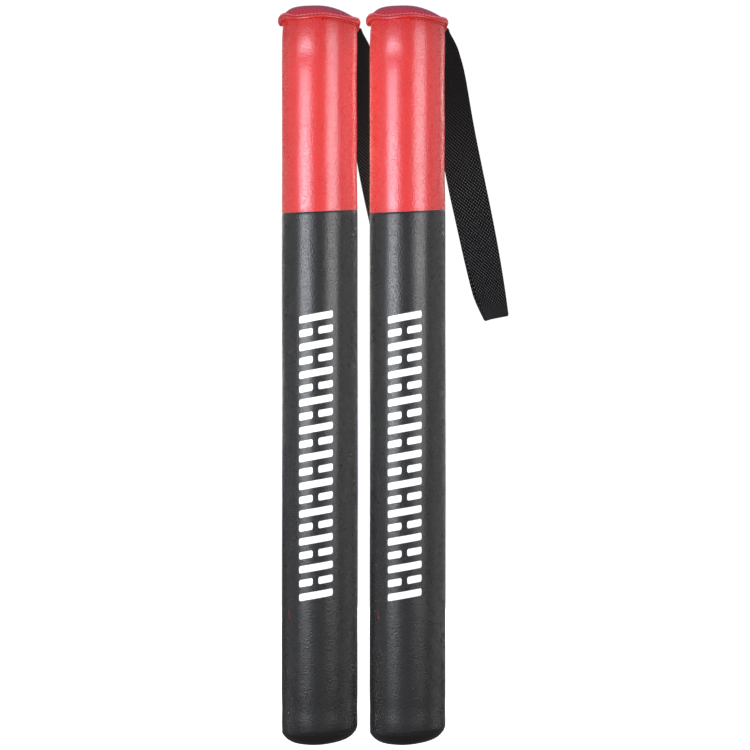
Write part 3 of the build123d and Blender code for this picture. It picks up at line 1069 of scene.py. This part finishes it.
def make_tails(stick):
    """The sewn ends of the webbing against the sleeve, with their bar of stitches."""
    low, high = (corner[2] - stick.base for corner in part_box(stick.name("strap_tails")))
    half = STRAP_WIDTH / 2 / (stick.radius + MM)
    columns = [mix(-half, half, i / TAIL_COLUMNS) for i in range(TAIL_COLUMNS + 1)]
    heights = [mix(low, high, i / TAIL_ROWS) for i in range(TAIL_ROWS + 1)]
    front, back = [], []
    for k, turn in enumerate(columns):
        azimuth = stick.hinge_azimuth + turn
        ridge = YARN_HEIGHT * abs(sin(pi * k * YARNS / TAIL_COLUMNS))
        front.append([stick.at(azimuth, stick.radius + TAIL_FRONT + ridge, h) for h in heights])
        back.append([stick.at(azimuth, stick.radius + TAIL_BACK, h) for h in heights])
    skin = Skin()
    skin.slab(front, back)
    skin.places = 2 * [(turn * stick.radius / MM, h / MM) for turn in columns for h in heights]
    stick.add(skin, "sewn_tails", WEBBING, "strap_tails", "webbing")

    thread = Skin()
    for i in range(TACKS):
        azimuth = stick.hinge_azimuth + mix(-TACK_SPAN * half, TACK_SPAN * half, i / (TACKS - 1))
        lean = TACK_LEAN * (1 if i % 2 else -1)
        ends = [
            stick.at(azimuth + turn, stick.radius + TACK_OUT, low + height)
            for turn, height in zip((-lean, lean), TACK_HEIGHTS)
        ]
        add_stitch(thread, *ends, stick.out(azimuth), TACK_THREAD)
    stick.add(thread, "tail_stitches", BLACK_THREAD, slot="black_thread")


def finish_inner_nodes(stick):
    """The CAD nodes that stay inside the leather keep their shape and get real materials."""
    for node, material in INNER_MATERIALS.items():
        name = stick.name(node)
        if name in frame["nodes"] and not frame["nodes"][name].hide_render:
            frame["nodes"][name].data.materials.clear()
            frame["nodes"][name].data.materials.append(material)


# ==== studio

def make_floor():
    """A plain floor, lit from within so far that it looks white."""
    skin = Skin()
    corners = [Vector((x, y, 0)) * FLOOR_HALF for x, y in ((-1, -1), (1, -1), (1, 1), (-1, 1))]
    skin.faces.append(tuple(skin.row(corners)))
    shader = Shader("studio_floor", 0.9, Emission_Color=(1, 1, 1, 1), Emission_Strength=0.82)
    patches = shader.ramp(shader.noise(3.0), *MIDTONES)
    shader.give("Base Color", shader.blend(patches, grey(0.78), grey(0.8)))
    floor = skin.finish("studio_floor", shader.material)
    floor.visible_diffuse = False
    floor.visible_glossy = False


def make_softbox(name, azimuth, distance, height, size, radiance, colour=(1, 1, 1), mirrored=True):
    """A rectangular light that faces the sticks. azimuth 0 is beside the camera, and + is to its right."""
    width, tall = size
    light = bpy.data.lights.new(name, "AREA")
    light.shape = "RECTANGLE"
    light.size, light.size_y = width, tall
    light.energy = radiance * pi * width * tall
    light.color = colour
    lamp = bpy.data.objects.new(name, light)
    turn = radians(azimuth)
    away = Vector((distance * sin(turn), -distance * cos(turn), height - PAIR_MIDDLE.z))
    lamp.location = PAIR_MIDDLE + away
    lamp.rotation_euler = (radians(90), 0, turn)
    light.use_shadow = False
    # Beside and behind the sticks, this would let them hide a light from each other after all.
    light.cycles.use_multiple_importance_sampling = abs(azimuth) < 60
    lamp.visible_camera = False
    lamp.visible_glossy = mirrored
    bpy.context.scene.collection.objects.link(lamp)


def make_world():
    """White to the camera, and a bluish sky over a darker ground to the light."""
    world = bpy.data.worlds.new("studio")
    world.use_nodes = True
    bpy.context.scene.world = world
    tree = world.node_tree
    sky = tree.nodes["Background"]
    direction = add_node(tree, "ShaderNodeTexCoord", {}, "Generated")
    up = add_node(tree, "ShaderNodeSeparateXYZ", {0: direction}, "Z")
    low, high = SKY_SPAN
    rise = add_node(tree, "ShaderNodeMapRange", {"Value": up, "From Min": low, "From Max": high})
    tones = {0: rise, 6: (*SKY_LOW, 1), 7: (*SKY_HIGH, 1)}
    tree.links.new(add_node(tree, "ShaderNodeMix", tones, 2, data_type="RGBA"), sky.inputs["Color"])
    white = add_node(tree, "ShaderNodeBackground", {"Color": (1, 1, 1, 1), "Strength": WHITE})
    seen = add_node(tree, "ShaderNodeLightPath", {}, "Is Camera Ray")
    chosen = add_node(tree, "ShaderNodeMixShader", {0: seen, 1: sky.outputs[0], 2: white})
    tree.links.new(chosen, tree.nodes["World Output"].inputs["Surface"])
    bpy.context.scene.view_settings.view_transform = "Standard"


def make_camera():
    data = bpy.data.cameras.new("camera")
    data.sensor_width = SENSOR
    data.lens = SENSOR * CAMERA_DISTANCE / FRAME_WIDTH
    data.clip_end = 100
    camera = bpy.data.objects.new("camera", data)
    middle = PAIR_MIDDLE
    camera.location = (middle.x + CAMERA_SHIFT, middle.y - CAMERA_DISTANCE, middle.z - CAMERA_SINK)
    camera.rotation_euler = (radians(90), 0, 0)
    bpy.context.scene.collection.objects.link(camera)
    bpy.context.scene.camera = camera


make_camera()
for stick in STICKS:
    make_sleeves(stick)
    make_foam(stick)
    make_bottom_cap(stick)
    make_bottom_stitches(stick)
    make_top_cap(stick)
    make_lip(stick)
    for sleeve, node, thread, slot, radius in (
        ("striking", "striking_seam_thread", BLACK_THREAD, "black_thread", stick.black_radius),
        ("grip", "handle_seam_thread", RED_THREAD_AND_GLINT, "red_thread", stick.red_radius),
    ):
        make_back_stitches(stick, sleeve + "_stitches", node, thread, slot, radius)
    make_print(stick)
    make_stray_thread(stick)
    make_strap(stick)
    make_tails(stick)
    finish_inner_nodes(stick)

make_floor()
make_world()
make_softbox("left_strip", -44, 1.3, 0.385, (0.74, 0.50), 13.7, (0.96, 0.98, 1.045))
make_softbox("right_strip", 38, 1.3, 0.465, (0.76, 0.57), 8.5)
make_softbox("back_right_strip", 138, 1.4, 0.3, (0.3, 0.69), 1.2)
make_softbox("back_right_rim", 138, 1.4, 0.70, (0.3, 0.34), 2.4)
make_softbox("back_left_strip", -149, 1.4, 0.46, (0.3, 0.56), 2.1)
make_softbox("left_fill", -97, 1.3, 0.3, (1.1, 1.3), 0.60)
make_softbox("right_fill", 94, 1.3, 0.3, (1.1, 1.3), 0.85)
make_softbox("front_fill", 0, 1.5, 0.3, (1.2, 1.3), 0.4)
make_softbox("back_fill", 174, 1.5, 0.4, (0.7, 1.2), 3.6, mirrored=False)
